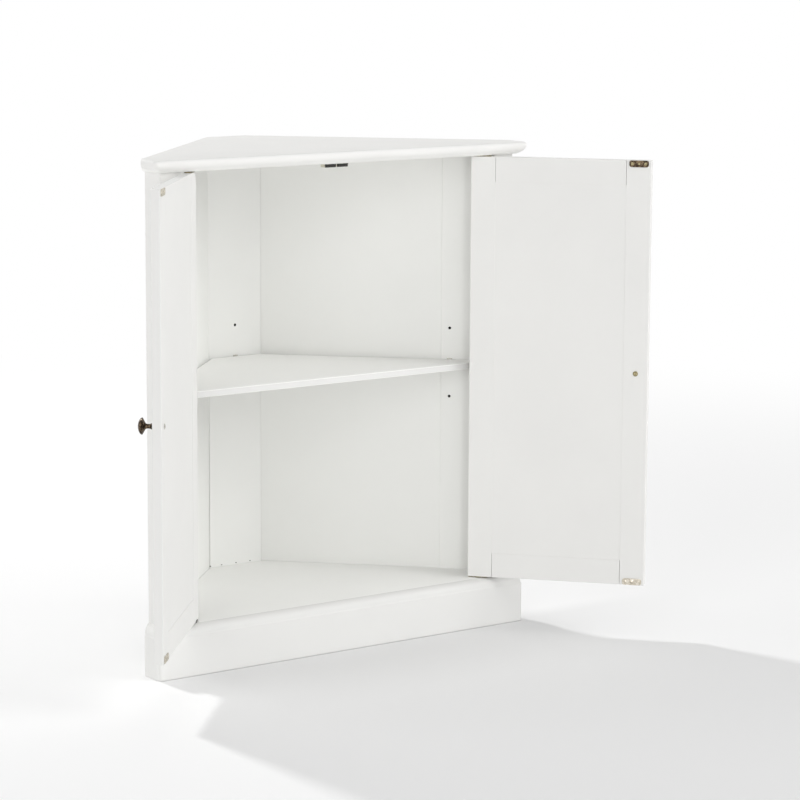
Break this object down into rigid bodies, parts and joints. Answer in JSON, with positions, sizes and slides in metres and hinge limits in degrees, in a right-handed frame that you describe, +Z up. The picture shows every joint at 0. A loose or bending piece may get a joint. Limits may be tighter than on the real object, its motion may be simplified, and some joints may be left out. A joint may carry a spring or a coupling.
{
  "type": "corner cupboard",
  "caption": "Painted corner cupboard with a moulded top and plinth, an adjustable shelf and panelled doors that turn on pivot pins.",
  "frame": {"origin": "on the floor, under the middle of the front plinth board", "axes": "+X right along the front, +Y back into the corner, +Z up"},
  "size_m": [1.0635, 0.6098, 0.889],
  "materials": {
    "outside_paint": "satin white paint",
    "inside_paint": "satin white paint",
    "antique_bronze": "dark antique bronze",
    "plated_steel": "nickel plated",
    "cream_plastic": "cream moulded plastic",
    "magnet_steel": "dark magnet and steel",
    "aged_brass": "aged brass"
  },
  "bodies": {
    "carcase": {"top_panel": "outside_paint", "left_stile": "outside_paint", "right_stile": "outside_paint", "left_return": "outside_paint", "right_return": "outside_paint", "plinth_front": "outside_paint", "plinth_left": "outside_paint", "plinth_right": "outside_paint", "left_side_board": "inside_paint", "right_side_board": "inside_paint", "left_back_panel": "inside_paint", "right_back_panel": "inside_paint", "rear_board": "inside_paint", "floor_panel": "inside_paint", "bottom_rail": "inside_paint", "shelf": "inside_paint", "shelf_support_left_1": "plated_steel", "shelf_support_left_2": "plated_steel", "shelf_support_right_1": "plated_steel", "shelf_support_right_2": "plated_steel", "shelf_support_rear": "plated_steel", "left_top_bush": "aged_brass", "left_bottom_bush": "aged_brass", "right_top_bush": "aged_brass", "right_bottom_bush": "aged_brass", "catch_housing": "cream_plastic", "catch_left_magnet": "magnet_steel", "catch_right_magnet": "magnet_steel"},
    "left_door": {"left_door_hinge_stile": "outside_paint", "left_door_meeting_stile": "outside_paint", "left_door_top_rail": "outside_paint", "left_door_bottom_rail": "outside_paint", "left_door_panel": "outside_paint", "left_door_bottom_pivot": "aged_brass", "left_door_top_pivot": "aged_brass", "left_knob": "antique_bronze", "left_knob_screw": "aged_brass", "left_door_top_strike_plate": "antique_bronze", "left_door_bottom_strike_plate": "antique_bronze"},
    "right_door": {"right_door_hinge_stile": "outside_paint", "right_door_meeting_stile": "outside_paint", "right_door_top_rail": "outside_paint", "right_door_bottom_rail": "outside_paint", "right_door_panel": "outside_paint", "right_door_bottom_pivot": "aged_brass", "right_door_top_pivot": "aged_brass", "right_knob": "antique_bronze", "right_knob_screw": "aged_brass", "right_door_top_strike_plate": "antique_bronze", "right_door_bottom_strike_plate": "antique_bronze"}
  },
  "joints": [
    {"name": "left_door_pivot", "type": "hinge", "parent": "carcase", "child": "left_door", "pos_m": [-0.3105, 0.018, 0.4775], "axis": [0, 0, 1], "range_deg": [-5, 132]},
    {"name": "right_door_pivot", "type": "hinge", "parent": "carcase", "child": "right_door", "pos_m": [0.3105, 0.018, 0.4775], "axis": [0, 0, 1], "range_deg": [-131, 6]}
  ]
}
